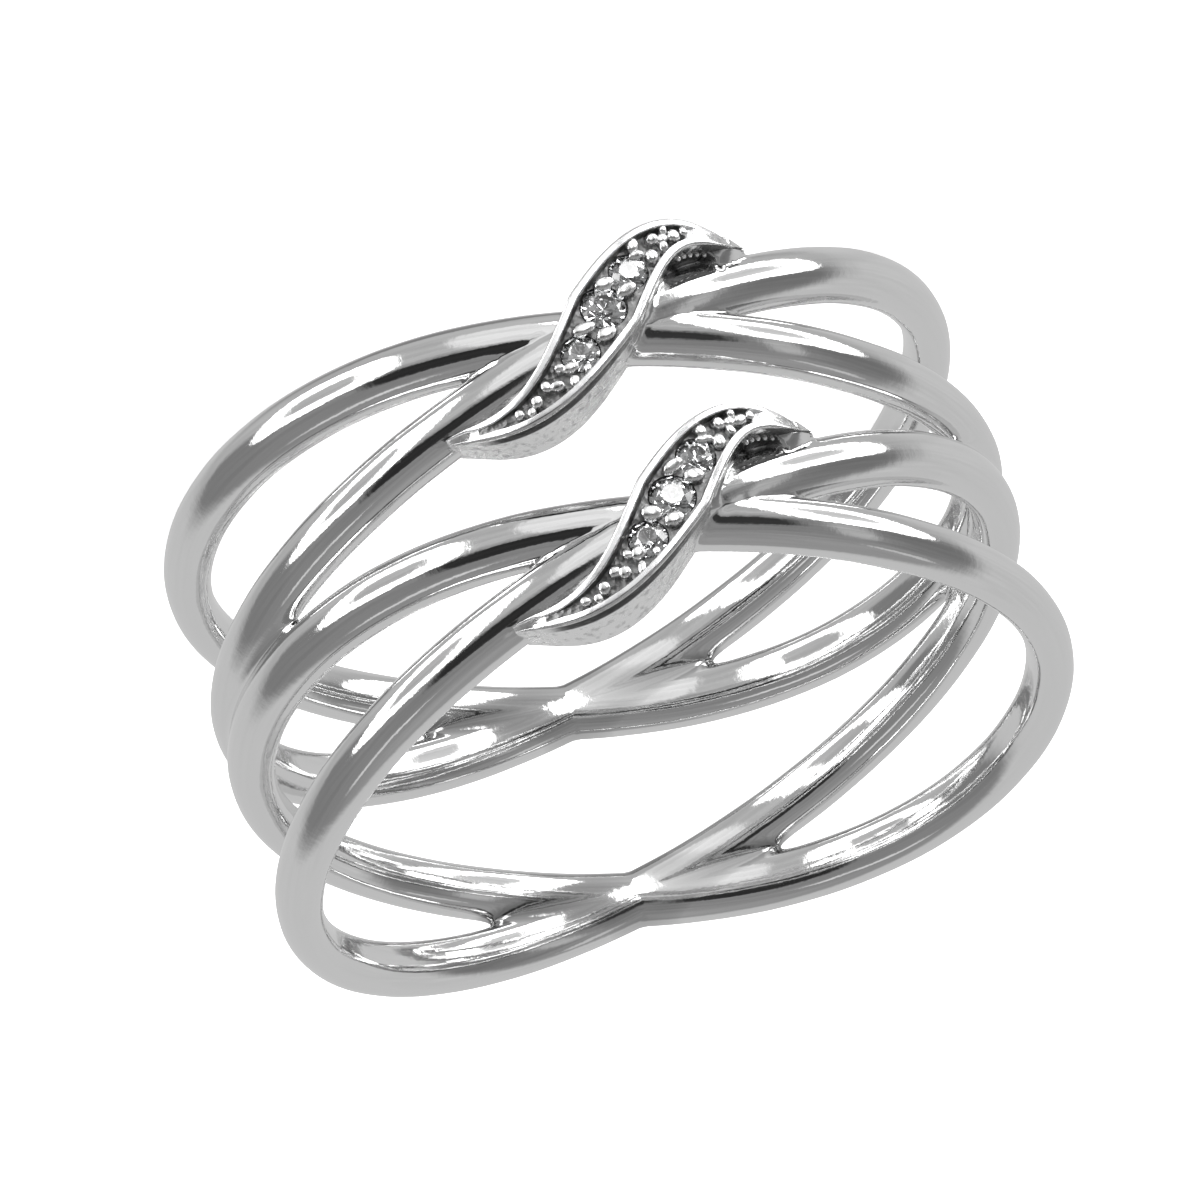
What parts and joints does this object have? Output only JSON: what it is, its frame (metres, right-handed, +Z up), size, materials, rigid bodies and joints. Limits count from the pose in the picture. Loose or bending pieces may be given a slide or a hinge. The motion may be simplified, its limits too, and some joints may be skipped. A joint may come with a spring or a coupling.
{
  "type": "double infinity ring",
  "caption": "Polished white-metal double infinity ring: two joined bands of crossing wires, each with an S-shaped plate set with small round stones.",
  "frame": {"origin": "on the floor under the middle of the ring's box, as it lies on its side", "axes": "+Z up, nearly along the finger hole's axis; -Y towards the S plates at the front; +X across the ring"},
  "size_m": [0.0194, 0.0206, 0.01],
  "materials": {
    "white_metal": "mirror polished white metal",
    "stone": "faceted and polished, clear"
  },
  "bodies": {
    "root": {"double_band": "white_metal", "stone_1": "stone", "stone_2": "stone", "stone_3": "stone", "stone_4": "stone", "stone_5": "stone", "stone_6": "stone"}
  },
  "joints": []
}
